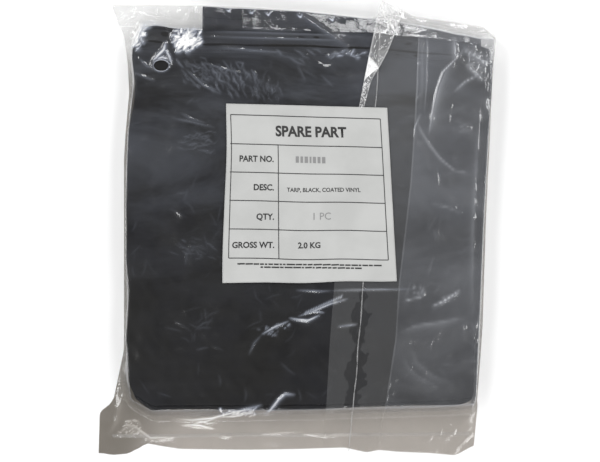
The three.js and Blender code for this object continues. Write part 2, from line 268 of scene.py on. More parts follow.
def plan(p, q):
    """Plan position of bag coordinates: 0 to 1 runs across or up the stack, and the bag's margins run from
    -1 to 0 and from 1 to 2."""
    below_p, above_p = np.clip(p, -1, 0), np.clip(p, 1, 2) - 1
    below_q, above_q = np.clip(q, -1, 0), np.clip(q, 1, 2) - 1
    base_x, base_y = on_edges(np.clip(p, 0, 1), np.clip(q, 0, 1))
    x, y = base_x, base_y
    for _ in range(3):
        side_y, end_x = y, x
        x = base_x + (stack_left(side_y) - bag_left(side_y)) * below_p
        x = x + (bag_right(side_y) - stack_right(side_y)) * above_p
        y = base_y + (stack_bottom(end_x) - bag_bottom(end_x)) * below_q
        y = y + (bag_top(end_x) - stack_top(end_x)) * above_q
    return x, y


def bag_lines(below, within, above):
    """Grid lines for plan(), closer together where the film drops off the stack."""
    low = -np.linspace(1, 0, below, endpoint=False) ** 1.2
    middle = np.linspace(0, 1, within, endpoint=False)
    high = 1 + np.linspace(0, 1, above) ** 1.2
    return np.concatenate([low, middle, high])


# ==== heights

TARP_FOLDS = (  # soft folds in the upper vinyl: points, height and width in millimetres
    ([(-6, 200), (20, 184), (44, 165)], 1.1, 6),
    ([(-4, 165), (30, 142), (70, 108)], 1.2, 7),
    ([(-120, 60), (-96, -20), (-104, -110)], 0.8, 12),
    ([(-140, -30), (-60, -78), (20, -84)], 0.7, 9),
    ([(96, 100), (128, 30), (120, -60)], 0.8, 12),
    ([(60, -90), (110, -100), (150, -84)], 0.6, 8),
)


def smooth_vinyl(x, y):
    """Height of the folded tarp's upper face without its folds and fine unevenness."""
    return TOP - 1.4 * MM + 0.85 * MM * swell(x, y, 130 * MM, 11) + 0.3 * MM * swell(x, y, 42 * MM, 12)


def vinyl_height(x, y):
    """Height of the folded tarp's upper face."""
    height = smooth_vinyl(x, y) + 0.12 * MM * swell(x, y, 17 * MM, 13)
    for points, tall, wide in TARP_FOLDS:
        height = height + crease(x, y, points, tall, wide)
    return height


def fall(distance, reach):
    """1 over the stack, falling softly to 0 at reach past its edge."""
    t = np.clip(distance / np.maximum(reach, 1 * MM), 0, 1)
    return (1 - t**1.3) ** 1.8


def skirt_edge(x):
    """How far up the end skirt's free edge lies."""
    reach = np.minimum(skirt_end(x) + 2.4 * MM, bag_top(x) - 1.6 * MM)
    return reach - 0.2 * MM * (1 + swell(x, 0 * x, 24 * MM, 71))


def shelf(x, y):
    """The film's fall at the top end, where it lies on the end skirt and drops only past its edge."""
    top, ledge, end = stack_top(x), skirt_edge(x) - 0.3 * MM, bag_top(x)
    t = np.clip((y - top) / np.maximum(ledge - top, 3 * MM), 0, 1)
    drop = np.clip((y - ledge) / np.minimum(8 * MM, 0.9 * (end - ledge)), 0, 1)
    return (1 - 0.08 * t) * (1 - smooth(0, 1, drop))


SKIRT_LEFT, SKIRT_RIGHT = -88 * MM, 165 * MM


def on_skirt(x):
    return smooth(SKIRT_LEFT - 3 * MM, SKIRT_LEFT, x)


# How far past the stack's edges the front film comes down, where the bag has the room.
FALL_LEFT, FALL_RIGHT, FALL_LOW, FALL_HIGH = 9 * MM, 10 * MM, 13 * MM, 11 * MM


def lift(x, y):
    """How much of the stack's height the front film has, from 1 on top to 0 on the floor."""
    left, right, bottom, top = stack_left(y), stack_right(y), stack_bottom(x), stack_top(x)
    sides = fall(left - x, np.minimum(FALL_LEFT, 0.9 * (left - bag_left(y))))
    sides = sides * fall(x - right, np.minimum(FALL_RIGHT, 0.9 * (bag_right(y) - right)))
    low_end = fall(bottom - y, FALL_LOW)
    high_end = fall(y - top, FALL_HIGH) * (1 - on_skirt(x)) + shelf(x, y) * on_skirt(x)
    return sides * low_end * high_end


SHEEN = 0.10 * MM  # height of the small creases that cover the whole film


FRONT_STROKES = [  # points, height, width, lean and milk_and_sheen (crest whiteness, partly painted highlight)
    # Across the lower middle: a long bright crease with a comb of short ones climbing from it, their
    # brightness partly painted highlight.
    ((-10, -80), (-2, -81.5), (8, -82.3), (13, -80), (19, -77), 0.8, 0.8, 1.6, 0.95),
    ((-2, -79), (11, -74.8), (28, -67.5), (45, -62.4), 0.8, 0.75, 1, 0.8),
    ((10, -74.3), (16, -74.5), (23, -75.5), 0.7, 0.75, 1, 0.7),
    ((-35, -95.5), (-22, -88), (-9, -82.8), 0.8, 0.85, 1.3, 0.7),
    ((-46, -114), (-41, -103), (-34, -95), 0.5, 1.2, 1, 0.12),
    # The line below the label.
    ((-4, -55), (20, -56), (30, -55.5), 0.68, 0.9, 1, 0.3),
    ((26, -55.5), (60, -54.5), (106, -54), 0.68, 0.9, 1, 0.28),
    ((34, -88), (44, -87), (53, -86), 0.68, 0.9, 1, 0.4),
    # Folds that run from the stack's lower edge into the bag's bottom margin.
    ((-118, -174), (-98, -175), (-80, -173), (-62, -167), (-33, -158.5), 1.43, 1.62, 1.8, 0.9),
    ((-111, -179), (-92, -180), (-76, -183), 0.94, 1.25, 1.5, 0.9),
    ((-104, -180), (-84, -176), (-70, -171), 0.94, 1.25, 1, 0.8),
    ((-35, -172), (-26, -163), (-19, -154), (-13, -149), (-3, -149.6), 0.99, 1.25, 1.5, 0.75),
    ((-72, -172.5), (-60, -172), (-50, -166), (-46, -168), (-38, -160), (-34, -158.5), 1.2, 1.1, 1, 1),
    ((-78, -174), (-66, -171.5), (-54, -170.5), (-44, -165), (-36, -160), 1.1, 1.1, 1, 1),
    ((-100, -178), (-90, -176.5), (-84, -178.5), (-74, -177), 1.0, 1.0, 1, 0.9),
    ((-162, -177), (-150, -182), (-137, -191.5), (-110, -190.5), 0.94, 1.25, 2, 0.55),
    ((-158, -190), (-146, -186), (-137, -191.5), 0.75, 1, 1, 0.4),
    ((-74, -190), (-66, -191), (-60, -190), 0.84, 1.12, 1.5, 0.6),
    ((-36, -188), (-18, -187), (2, -186), 0.8, 1.12, 1, 0.4),
    ((0, -187), (24, -190), (52, -188), 0.8, 1.25, 1, 0.4),
    ((-176, -190), (-168, -176), (-163, -150), 0.5, 1.88, 2, 0.12),
    # Round the vent and the crumpled patch to its upper right.
    ((-133, 152), (-128, 158), (-123, 163), (-121, 171), 1.36, 1.25, 1.6, 0.9),
    ((-116, 150), (-118, 157), (-122, 164), 1.05, 1.25, 1, 0.8),
    ((-130, 154), (-124, 156), (-119, 154), 1.03, 1.38, 1, 0.8),
    ((-112, 158), (-108, 168), (-98, 180), (-90, 182), 1.61, 1.75, 1.7, 0.95),
    ((-108, 166), (-98, 168), (-90, 172), 1.24, 1.5, 1.6, 0.9),
    ((-106, 176), (-98, 174), (-92, 180), 1.05, 1.25, 1, 0.85),
    ((-150, 142), (-140, 138), (-130, 134), 0.75, 1, 1, 0.15),
    ((-146, 156), (-138, 148), (-132, 146), 0.75, 1, 1, 0.15),
    ((-90, 152), (-70, 146), (-50, 141), 0.68, 0.9, 1, 0.2),
    ((-104, 146), (-86, 130), (-70, 122), 0.75, 1, 1, 0.2),
    ((-116, 101), (-96, 97), (-76, 92), 0.75, 1, 1, 0.12),
    ((-108, 106), (-98, 100), (-84, 96), 0.68, 0.9, 1, 0.12),
    # Crossing the top band above the label.
    ((-56, 183), (-30, 181), (20, 180), 0.3, 0.8, 2, 0.1),
    ((-88, 175), (-50, 174), (0, 172.5), (50, 171), 0.3, 0.8, 2, 0.16),
    ((-86, 179.5), (-40, 178.5), (10, 177), (60, 174), 0.25, 0.7, 2, 0.14),
    ((-74, 165), (-40, 162), (-10, 160), 0.6, 1, 1, 0.15),
    ((-6, 199), (14, 186), (34, 172), (46, 165), 0.9, 1.25, 2.5, 0.12),
]
FRONT_HATCHES = [  # seed, count, centre, spread, angle, length, height, width, turn, bow and milk_and_sheen (crest whiteness, partly painted highlight)
    (102, 22, (-24, -91), (14, 5), 62, 4, 0.4, 0.7, 12, 0.15, 0.3),
    (103, 44, (-56, -167.5), (15, 3), 28, 6, 0.9, 1.1, 25, 0.15, 0.95),
    (104, 44, (-154, -183), (11, 7), -35, 6, 0.8, 0.9, 50, 0.15, 0.42),
    (105, 120, (-102, 171), (12, 9), 42, 8, 0.9, 1.4, 34, 0.15, 1.1),
    (106, 48, (-147, 176), (6, 12), 62, 9, 1.0, 1.2, 34, 0.15, 1.0),
    (107, 18, (-146, 190), (24, 8), 10, 18, 0.9, 1.2, 24, 0.15, 0.35),
    # Fans of fine wavy creases over the upper left.
    (108, 60, (-88, 141), (20, 12), -40, 10, 0.5, 0.65, 14, 0.35, 0.14),
    (109, 60, (-58, 135), (20, 13), -64, 11, 0.5, 0.65, 10, 0.35, 0.15),
    (110, 40, (-30, 128), (16, 11), -80, 9, 0.45, 0.65, 14, 0.35, 0.1),
    (111, 36, (-94, 80), (18, 9), 6, 11, 0.4, 0.65, 14, 0.35, 0.08),
    (112, 30, (-96, -17), (18, 9), -24, 10, 0.4, 0.65, 18, 0.15, 0.07),
    (113, 16, (-100, -84), (26, 24), 30, 16, 0.45, 1.08, 40, 0.15, 0.04),
    (114, 22, (44, 158), (22, 4), 4, 8, 0.64, 0.9, 30, 0.15, 0.4),
    (115, 14, (10, 150), (30, 16), -34, 15, 0.48, 1.08, 16, 0.15, 0.1),
    # Loose short creases all over.
    (116, 150, (0, 0), (150, 150), 25, 16, 0.2, 0.96, 60, 0.15, 0.03),
]
for step in range(15):  # the comb that climbs from the long crease across the lower middle
    x = 4 + 2.3 * step
    y = -77.5 + 0.45 * (x - 4)
    FRONT_STROKES.append(((x, y), (x + 1.8, y + 2.2), (x + 2.8, y + 4.2), 0.45, 0.7, 1, 0.55))
for x, y in ((-43, 197), (-28, 195.5), (1, 193.5), (-64, 199), (30, 190.5)):  # notches over the skirt's edge
    FRONT_STROKES.append(((x - 4, y + 2), (x, y - 1.5), (x + 2, y + 3), 0.35, 0.8, 1, 0.7))

front_relief = Relief(FRONT_STROKES, FRONT_HATCHES)


LABEL_PRESS = 0.94  # share of the film's creases that the label takes away


def label_share(x, y):
    """1 under the paper label, which presses the film flat, and 0 away from it."""
    across = smooth(-73, -68, x / MM) * smooth(92, 87, x / MM)
    return across * smooth(-54, -48, y / MM) * smooth(119, 113, y / MM)


def unpressed(x, y):
    """What the label leaves of the film's creases."""
    return 1 - LABEL_PRESS * label_share(x, y)


def front_creases(x, y):
    patches = smooth(-0.2, 0.9, swell(x, y, 90 * MM, 21))
    total = front_relief.at(x, y) + SHEEN * patches * ridges(x, y, 34 * MM, 22)
    total = total + 0.25 * SHEEN * ridges(x * 0.6, y, 15 * MM, 26)
    return total * unpressed(x, y)


def front_milk_and_sheen(x, y):
    # Painted highlight on the front film's creases, partly their cloudiness; the label presses most of it
    # away.
    return front_relief.milk_and_sheen_at(x, y) * unpressed(x, y)


def margin_creases(x, y):
    """The deeper crumpling of the bag's empty margins: strong at the upper left and slight at the bottom."""
    big = 2.2 * MM * ridges(x, y * 1.4, 38 * MM, 31) + 1.0 * MM * ridges(x, y, 16 * MM, 35)
    strong = 0.10 + 0.90 * smooth(-150 * MM, -110 * MM, y) * smooth(-40 * MM, -110 * MM, x)
    strong = np.maximum(strong, 0.45 * smooth(-160 * MM, -120 * MM, y) * smooth(120 * MM, 165 * MM, x))
    calm = 0.3 + 0.7 * smooth(-170 * MM, -150 * MM, y)
    return calm * (big * strong + 0.8 * MM * (1 + swell(x, y, 60 * MM, 38)))


def front_height(x, y):
    share = lift(x, y)
    side_gap = np.minimum(x - bag_left(y), bag_right(y) - x)
    edge_gap = np.minimum(side_gap, np.minimum(y - bag_bottom(x), bag_top(x) - y))
    sealed = smooth(0, 8 * MM, edge_gap)
    over = vinyl_height(x, y) + FILM_AIR - FLOOR_AIR
    height = FLOOR_AIR + share * over + front_creases(x, y) * (0.3 + 0.7 * sealed)
    return height + np.clip(1 - 1.3 * share, 0, 1) * sealed * margin_creases(x, y)


# ==== meshes


def mesh_object(name, points, faces, milk_and_sheen=None):
    """A smooth-shaded piece from points and quads, without the points that no quad uses. milk_and_sheen is
    how
    white a film is at each point: partly its cloudiness and partly painted highlight."""
    points, faces = np.asarray(points, float).reshape(-1, 3), np.asarray(faces)
    used, renumbered = np.unique(faces, return_inverse=True)
    mesh = bpy.data.meshes.new(name)
    mesh.from_pydata(points[used].tolist(), [], renumbered.reshape(faces.shape).tolist())
    mesh.validate()
    mesh.shade_smooth()
    if milk_and_sheen is not None:
        values = np.asarray(milk_and_sheen, float).ravel()[used].astype(np.float32)
        mesh.attributes.new("milk_and_sheen", "FLOAT", "POINT").data.foreach_set("value", values)
    piece = bpy.data.objects.new(name, mesh)
    bpy.context.scene.collection.objects.link(piece)
    return piece


def grid_faces(rows, columns, closed=False):
    index = np.arange(rows * columns).reshape(rows, columns)
    if closed:
        index = np.concatenate([index, index[:, :1]], axis=1)
    corners = (index[:-1, :-1], index[:-1, 1:], index[1:, 1:], index[1:, :-1])
    return np.stack([corner.ravel() for corner in corners], axis=1)


def sheet_mesh(name, x, y, z, milk_and_sheen=None):
    """A single-surface sheet through a grid of points. x grows along the columns and y along the rows."""
    return mesh_object(name, np.stack([x, y, z], axis=-1), grid_faces(*x.shape), milk_and_sheen)


def thicken(piece, thickness, offset):
    solidify = piece.modifiers.new("thickness", "SOLIDIFY")
    solidify.thickness = thickness
    solidify.offset = offset


def finish_piece(piece, material, replaces=()):
    piece.data.materials.clear()
    piece.data.materials.append(material)
    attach(piece, "root")
    if replaces:
        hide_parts(*replaces)


# ==== materials


class Shader:
    """A material's node tree, built by short calls."""

    def __init__(self, name):
        self.material = bpy.data.materials.new(name)
        self.material.use_nodes = True
        self.tree = self.material.node_tree
        self.tree.nodes.clear()
        self.output = self.tree.nodes.new("ShaderNodeOutputMaterial")

    def add(self, kind, inputs=None, **settings):
        """A node. An input that is another node's socket is linked, and any other is set."""
        node = self.tree.nodes.new("ShaderNode" + kind)
        for key, value in settings.items():
            setattr(node, key, value)
        for key, value in (inputs or {}).items():
            if isinstance(value, bpy.types.NodeSocket):
                self.tree.links.new(value, node.inputs[key])
            else:
                node.inputs[key].default_value = value
        return node

    def place(self):
        """Object coordinates, in metres."""
        return self.add("TexCoord").outputs["Object"]

    def axis(self, name):
        return self.add("SeparateXYZ", {"Vector": self.place()}).outputs[name]

    def stretched(self, scale, turn=0.0):
        mapping = self.add("Mapping", {"Vector": self.place(), "Rotation": (0, 0, turn), "Scale": scale})
        return mapping.outputs["Vector"]

    def noise(self, scale, detail=3.0, roughness=0.5, vector=None, distortion=0.0):
        inputs = {"Vector": vector or self.place(), "Scale": scale, "Detail": detail, "Roughness": roughness}
        inputs["Distortion"] = distortion
        return self.add("TexNoise", inputs).outputs["Fac"]

    def math(self, operation, a, b=0.0, clamp=False):
        return self.add("Math", {0: a, 1: b}, operation=operation, use_clamp=clamp).outputs[0]

    def times(self, first, *others):
        for other in others:
            first = self.math("MULTIPLY", first, other)
        return first

    def plus(self, a, b, clamp=False):
        return self.math("ADD", a, b, clamp)

    def remap(self, value, low, high, to_low=0.0, to_high=1.0):
        inputs = {"Value": value, "From Min": low, "From Max": high, "To Min": to_low, "To Max": to_high}
        return self.add("MapRange", inputs, interpolation_type="SMOOTHSTEP").outputs[0]

    def blend(self, factor, first, second):
        """Two colours mixed. Sockets 6 and 7, and output 2, are a Mix node's colour ones."""
        return self.add("Mix", {0: factor, 6: first, 7: second}, data_type="RGBA").outputs[2]

    def bump(self, height, strength, distance, normal=None):
        inputs = {"Height": height, "Strength": strength, "Distance": distance}
        if normal is not None:
            inputs["Normal"] = normal
        return self.add("Bump", inputs).outputs["Normal"]

    def milk_and_sheen(self):
        """How white a film is, as its mesh says: partly its cloudiness and partly painted highlight."""
        return self.add("Attribute", attribute_name="milk_and_sheen").outputs["Fac"]

    def shown(self, surface):
        self.tree.links.new(surface, self.output.inputs["Surface"])
        return self.material


def grey(value, blue=0.0):
    return (value, value, value * (1 + blue), 1)


def vinyl_material(name, tone, weave_scale):
    s = Shader(name)
    cloudy = s.noise(18, 4, 0.6)
    worn = s.noise(140, 5, 0.65)
    warm = (tone, tone * 0.94, tone * 0.86, 1)
    colour = s.blend(s.remap(cloudy, 0.3, 0.7), warm, grey(tone * 1.15, 0.22))
    colour = s.blend(s.remap(worn, 0.56, 0.78, 0, 0.25), colour, grey(tone * 2.2, 0.08))
    threads = {"Vector": s.place(), "Scale": weave_scale, "Distortion": 0.4}
    warp, weft = (s.add("TexWave", threads, bands_direction=way).outputs["Fac"] for way in "XY")
    weave = s.math("MAXIMUM", warp, weft)
    rough = s.remap(s.noise(60, 3), 0.3, 0.7, 0.4, 0.55)
    normal = s.bump(weave, 0.05, 0.05 * MM, s.bump(worn, 0.1, 0.2 * MM))
    inputs = {"Base Color": colour, "Roughness": rough, "Normal": normal, "Specular IOR Level": 0.21}
    return s.shown(s.add("BsdfPrincipled", inputs).outputs[0])


def film_material(name, gloss_rough, zones):
    """Clear film: light passes straight through it, but for a share of haze and a sharp gloss. zones(s)
    gives the haze and its tone."""
    s = Shader(name)
    haze, tone = zones(s)
    cells = s.add("TexVoronoi", {"Vector": s.place(), "Scale": 55}, feature="DISTANCE_TO_EDGE")
    crinkle = s.math("MINIMUM", cells.outputs["Distance"], 0.12)
    fine = s.noise(90, 4, 0.6, distortion=1.5)
    normal = s.bump(crinkle, 0.12, 1.6 * MM, s.bump(fine, 0.16, 0.9 * MM))
    through = s.add("BsdfTransparent", {"Color": grey(0.97)}).outputs[0]
    cloud = s.add("BsdfDiffuse", {"Color": tone, "Normal": normal}).outputs[0]
    body = s.add("MixShader", {0: haze, 1: through, 2: cloud}).outputs[0]
    rough = s.remap(s.noise(45, 3), 0.35, 0.7, gloss_rough * 0.8, gloss_rough * 1.5)
    gloss = s.add("BsdfGlossy", {"Color": grey(1), "Roughness": rough, "Normal": normal}).outputs[0]
    # Both faces of the film mirror a twentieth of the light head-on, and nearly all of it at a slant.
    slant = s.math("POWER", s.add("LayerWeight", {"Blend": 0.5, "Normal": normal}).outputs["Facing"], 5.0)
    mirror = s.plus(s.times(slant, 0.9), 0.045)
    return s.shown(s.add("MixShader", {0: mirror, 1: body, 2: gloss}).outputs[0])


def creased(s, most):
    """Extra white haze on a film's steep places, a painted highlight for the light that slopes catch, and on
    its creases, partly their cloudiness and partly painted highlight.
    """
    upright = s.add("SeparateXYZ", {"Vector": s.add("TexCoord").outputs["Normal"]}).outputs["Z"]
    # Painted highlight: steep film on top of the stack is whitened, as if catching the lamps.
    slope_sheen = s.remap(s.math("ABSOLUTE", upright), 0.97, 0.75, 0.0, most)
    slope_sheen = s.times(slope_sheen, s.remap(s.axis("Z"), 19 * MM, 24 * MM))
    return s.plus(slope_sheen, s.milk_and_sheen())


def whitened_by_sheen(s, tone):
    """The tone, or white where the film is much creased: painted highlight on the creases, partly their
    cloudiness.
    """
    return s.blend(s.remap(s.milk_and_sheen(), 0.15, 0.7), tone, grey(1))


def off_the_stack(s):
    """How far a film is off the vinyl (0 to 1), and its tone there: warm at the bottom, pale at the top."""
    off = s.remap(s.axis("Z"), 8 * MM, 16 * MM, 1.0, 0.0)
    pale = s.remap(s.axis("Y"), 0.10, 0.18)
    return off, s.blend(pale, (0.80, 0.75, 0.69, 1), (1.0, 1.0, 1.0, 1))


def back_zones(s):
    """The back film's margin: warm grey at the bottom end, darker at the sides and pale at the top end."""
    x, y = s.axis("X"), s.axis("Y")
    up = s.remap(y, 0.10, 0.20)
    beside = s.times(s.remap(x, -0.150, -0.158), s.remap(y, -0.165, -0.11), s.remap(y, 0.17, 0.13))
    low_tone = s.blend(s.remap(x, -0.10, -0.17), (0.39, 0.36, 0.33, 1), (0.10, 0.085, 0.065, 1))
    tone = s.blend(up, low_tone, (0.95, 0.95, 0.94, 1))
    tone = s.blend(beside, tone, (0.14, 0.137, 0.125, 1))
    beyond = s.math("SUBTRACT", x, s.times(y, 0.05))
    right = s.times(s.remap(beyond, 0.164, 0.167), s.remap(y, -0.175, -0.15), s.remap(y, 0.175, 0.155))
    tone = s.blend(right, tone, (0.12, 0.123, 0.127, 1))
    cloud = s.remap(s.noise(22, 4, 0.6), 0.3, 0.7, 0.84, 0.97)
    return s.times(cloud, s.remap(up, 0, 1, 1, 0.42)), tone


def front_zones(s):
    """The front film is hazier where it is off the vinyl, and clouded in soft streaks over it."""
    streaks = s.noise(14, 5, 0.62, s.stretched((0.5, 1.4, 1), 0.5), 0.8)
    high = s.remap(s.axis("Y"), -0.12, 0.16, 0.002, 0.033)
    over = s.times(s.remap(streaks, 0.32, 0.72, 0.1, 2.2), high)
    off, off_tone = off_the_stack(s)
    tone = s.blend(off, (0.68, 0.74, 0.88, 1), off_tone)
    haze = s.plus(over, s.times(off, 0.14))
    return s.plus(haze, creased(s, 0.1), clamp=True), whitened_by_sheen(s, tone)


def flap_zones(s):
    streaks = s.noise(12, 5, 0.62, s.stretched((0.7, 1.2, 1), 0.3), 0.6)
    over = s.remap(streaks, 0.32, 0.72, 0.032, 0.092)
    high = s.remap(s.axis("Y"), -0.17, 0.12, 0.0, 0.048)
    off, off_tone = off_the_stack(s)
    haze = s.plus(over, s.plus(high, s.times(off, 0.06)))
    tone = s.blend(off, (0.72, 0.745, 0.80, 1), off_tone)
    return s.plus(haze, creased(s, 0.1), clamp=True), whitened_by_sheen(s, tone)


def lap_zones(s):
    """Where the lap clings wetly to the film under it, along the seam, the haze is gone."""
    x, y = s.axis("X"), s.axis("Y")
    seam = s.plus(s.times(y, 0.0801), 0.0617)  # below the label the seam is all but straight
    aside = s.math("ABSOLUTE", s.math("SUBTRACT", x, seam))
    blot = s.noise(55, 2, 0.5, distortion=0.3)
    reach = s.remap(blot, 0.30, 0.66, 0.001, 0.0115)
    reach = s.times(reach, s.remap(y, -0.045, -0.065))
    dry = s.remap(s.math("SUBTRACT", aside, reach), -0.0002, 0.0003, 0.42, 1)
    off, off_tone = off_the_stack(s)
    haze = s.times(dry, s.remap(y, -0.1, 0.15, 0.052, 0.075))
    haze = s.plus(haze, s.times(off, 0.05))
    tone = s.blend(off, (0.72, 0.73, 0.74, 1), off_tone)
    return s.plus(haze, creased(s, 0.08), clamp=True), tone


def fin_zones(s):
    """The folded fin is of one haze, apart from its creases and the painted highlight that its mesh carries.
    """
    return s.plus(0.12, creased(s, 0.1), clamp=True), grey(0.95)


def paper_material():
    s = Shader("label_paper")
    fibre = s.noise(900, 4, 0.6)
    cloud = s.noise(30, 3)
    colour = s.blend(s.remap(cloud, 0.3, 0.7), (0.44, 0.444, 0.435, 1), (0.485, 0.489, 0.48, 1))
    normal = s.bump(fibre, 0.15, 0.05 * MM)
    inputs = {"Base Color": colour, "Roughness": 0.62, "Normal": normal, "Specular IOR Level": 0.3}
    return s.shown(s.add("BsdfPrincipled", inputs).outputs[0])


def ink_material(name, tone):
    s = Shader(name)
    speck = s.remap(s.noise(2200, 2), 0.35, 0.65, 0.8, 1.25)
    colour = s.blend(speck, grey(tone * 1.6), grey(tone))
    return s.shown(s.add("BsdfPrincipled", {"Base Color": colour, "Roughness": 0.55}).outputs[0])


vinyl = vinyl_material("coated_vinyl", tone=0.008, weave_scale=900)
tape = vinyl_material("hem_tape", tone=0.009, weave_scale=700)
thread = vinyl_material("hem_thread", tone=0.03, weave_scale=2500)
film_back = film_material("film_back", 0.18, back_zones)
film_front = film_material("film_front", 0.12, front_zones)
film_flap = film_material("film_flap", 0.14, flap_zones)
film_lap = film_material("film_lap", 0.12, lap_zones)
film_weld = film_material("film_weld", 0.3, lambda s: (0.08, grey(0.7)))
film_bead = film_material("film_bead", 0.25, lambda s: (0.28, grey(0.7)))
film_fin = film_material("film_fin", 0.10, fin_zones)
paper = paper_material()
ink = ink_material("label_ink", 0.02)
pale_ink = ink_material("label_pale_ink", 0.22)

# ==== the folded tarp

# Heights of the plies in a leaf and of the leaves in the stack, as in the CAD.
PLY_PITCH = 0.8 * MM
PLY = [-1.5 * PLY_PITCH, -0.5 * PLY_PITCH, 0.5 * PLY_PITCH, 1.5 * PLY_PITCH + 0.6 * MM]
HEM_THICK = 0.45 * MM
AIR = 0.1 * MM
FACE_LOW = PLY[0] - VINYL / 2
FACE_HIGH = PLY[3] + VINYL / 2
HEM_HIGH = FACE_HIGH + AIR + HEM_THICK
LEAVES = 6
LEAF_AIR = 0.25 * MM
HEMMED_PITCH = 2 * HEM_HIGH + LEAF_AIR
PLAIN_PITCH = -2 * FACE_LOW + LEAF_AIR
LEAF_Z = [0.4 * MM - FACE_LOW]
for leaf in range(1, LEAVES):
    LEAF_Z.append(LEAF_Z[-1] + (HEMMED_PITCH if leaf % 2 else PLAIN_PITCH))
WIDE, LONG = 320 * MM, 340 * MM  # the stack's nominal size, left to right and bottom to top
PLAIN, TURN = 14, 9  # points along a hidden ply or leaf, and round a fold


def half_turn(centre, radius, start, sense):
    """A sheet's half turn round a centre: points and left-hand normals. sense is 1 for a left turn."""
    angle = start + sense * np.linspace(0, math.pi, TURN)
    out = np.stack([np.cos(angle), np.sin(angle)], axis=1)
    return np.array(centre) + radius * out, -sense * out


def straight(start, end, height, count):
    """A flat ply at a height, with its left-hand normals. Its ends are left to the turns beside it."""
    across = np.linspace(start, end, count + 2)[1:-1]
    points = np.stack([across, np.full(count, height)], axis=1)
    return points, np.tile([0.0, math.copysign(1, end - start)], (count, 1))


def ply_section(dense):
    """The middle line across one leaf: ply 3 to the right, ply 0 back, ply 1 right and ply 2 back again.
    dense is how many points the lowest ply has."""
    outer, inner = (PLY[3] - PLY[0]) / 2, PLY_PITCH / 2
    right, quarter = WIDE - outer, math.pi / 2
    parts = [
        (np.array([[0, PLY[3]]]), np.array([[0.0, 1.0]])),
        straight(0, right, PLY[3], PLAIN),
        half_turn((right, (PLY[0] + PLY[3]) / 2), outer, quarter, -1),
        straight(right, inner, PLY[0], dense),
        half_turn((inner, (PLY[0] + PLY[1]) / 2), inner, -quarter, -1),
        straight(inner, right, PLY[1], PLAIN),
        half_turn((right, (PLY[1] + PLY[2]) / 2), inner, -quarter, 1),
        straight(right, 0, PLY[2], PLAIN),
        (np.array([[0, PLY[2]]]), np.array([[0.0, -1.0]])),
    ]
    return np.concatenate([p for p, _ in parts]), np.concatenate([n for _, n in parts])


def leaf_path(dense):
    """Places (b, z) along the leaves with the directions in which ply heights grow there. dense is how many
    points the top leaf has."""
    places, grows = [], []
    for leaf, z in enumerate(LEAF_Z):
        runs_down = leaf % 2 == 0
        count = dense if leaf == LEAVES - 1 else PLAIN
        radius = (LEAF_Z[leaf + 1] - z) / 2 if leaf + 1 < LEAVES else 0
        b = np.linspace(LONG, 0, count) if runs_down else np.linspace(0, LONG, count)
        if leaf:
            b = b[1:]
        if leaf + 1 < LEAVES:
            b = b[:-1]
        places.append(np.stack([b, np.full(len(b), z)], axis=1))
        grows.append(np.tile([0.0, 1.0 if runs_down else -1.0], (len(b), 1)))
        if leaf + 1 < LEAVES:
            centre = (radius if runs_down else LONG - radius, z + radius)
            points, normals = half_turn(centre, radius, -math.pi / 2, -1 if runs_down else 1)
            places.append(points)
            grows.append(-normals)
    return np.concatenate(places), np.concatenate(grows)


def leaf_wander(b, z, seed):
    """How far a fold or free edge lies in from the stack's outline: different on every leaf."""
    return 1.3 * MM * (1 + swell(b, z * 14, 130 * MM, seed) + 0.5 * swell(b, z * 30, 60 * MM, seed + 1))


def in_stack(a, b, z):
    """Where a point of the ideal stack ends up, with soft corners, wandering edges and an uneven top."""
    corner = 10 * MM
    left, right = np.clip(1 - a / corner, 0, 1.1), np.clip(1 - (WIDE - a) / corner, 0, 1.1)
    bottom, top = np.clip(1 - b / corner, 0, 1.1), np.clip(1 - (LONG - b) / corner, 0, 1.1)
    push = 2.2 * MM
    s = (a + (left - right) * (bottom + top) * push) / WIDE
    t = (b + (bottom - top) * (left + right) * push) / LONG
    x, y = on_edges(s, t)
    x = x + (1 - s) * leaf_wander(b, z, 51) * 0.8 - s * leaf_wander(b, z, 54)
    y = y + (1 - t) * (0.5 * MM + leaf_wander(a, z, 57) * 0.5) - t * (1.5 * MM + leaf_wander(a, z, 60) * 0.5)
    return np.stack([x, y, z * vinyl_height(x, y) / TOP], axis=-1)


def outward(piece):
    """Turns a closed piece's faces outwards."""
    bm = bmesh.new()
    bm.from_mesh(piece.data)
    bmesh.ops.recalc_face_normals(bm, faces=bm.faces)
    bm.to_mesh(piece.data)
    bm.free()


def along_leaves(name, section, path, growth):
    """A closed section (a, height) carried along the leaves, with both ends closed by quads."""
    a, height = section[None, :, 0], section[None, :, 1]
    b = path[:, None, 0] + height * growth[:, None, 0]
    z = path[:, None, 1] + height * growth[:, None, 1]
    a = np.broadcast_to(a, b.shape)
    rows, columns = b.shape
    faces = grid_faces(rows, columns, closed=True)
    half = columns // 2
    i = np.arange(half - 1)
    cap = np.stack([i, columns - 1 - i, columns - 2 - i, i + 1], axis=1)
    last = (rows - 1) * columns
    faces = np.concatenate([faces, cap, last + cap[:, ::-1]])
    piece = mesh_object(name, in_stack(a, b, z), faces)
    outward(piece)
    return piece


def build_tarp():
    middle, normals = ply_section(dense=150)
    section = np.concatenate([middle + normals * VINYL / 2, (middle - normals * VINYL / 2)[::-1]])
    path, growth = leaf_path(dense=170)
    tarp = along_leaves("tarp", section, path, growth)
    finish_piece(tarp, vinyl, ["tarp_panel"])
    return tarp, [np.linalg.norm(np.diff(line, axis=0), axis=1).sum() for line in (middle, path)]


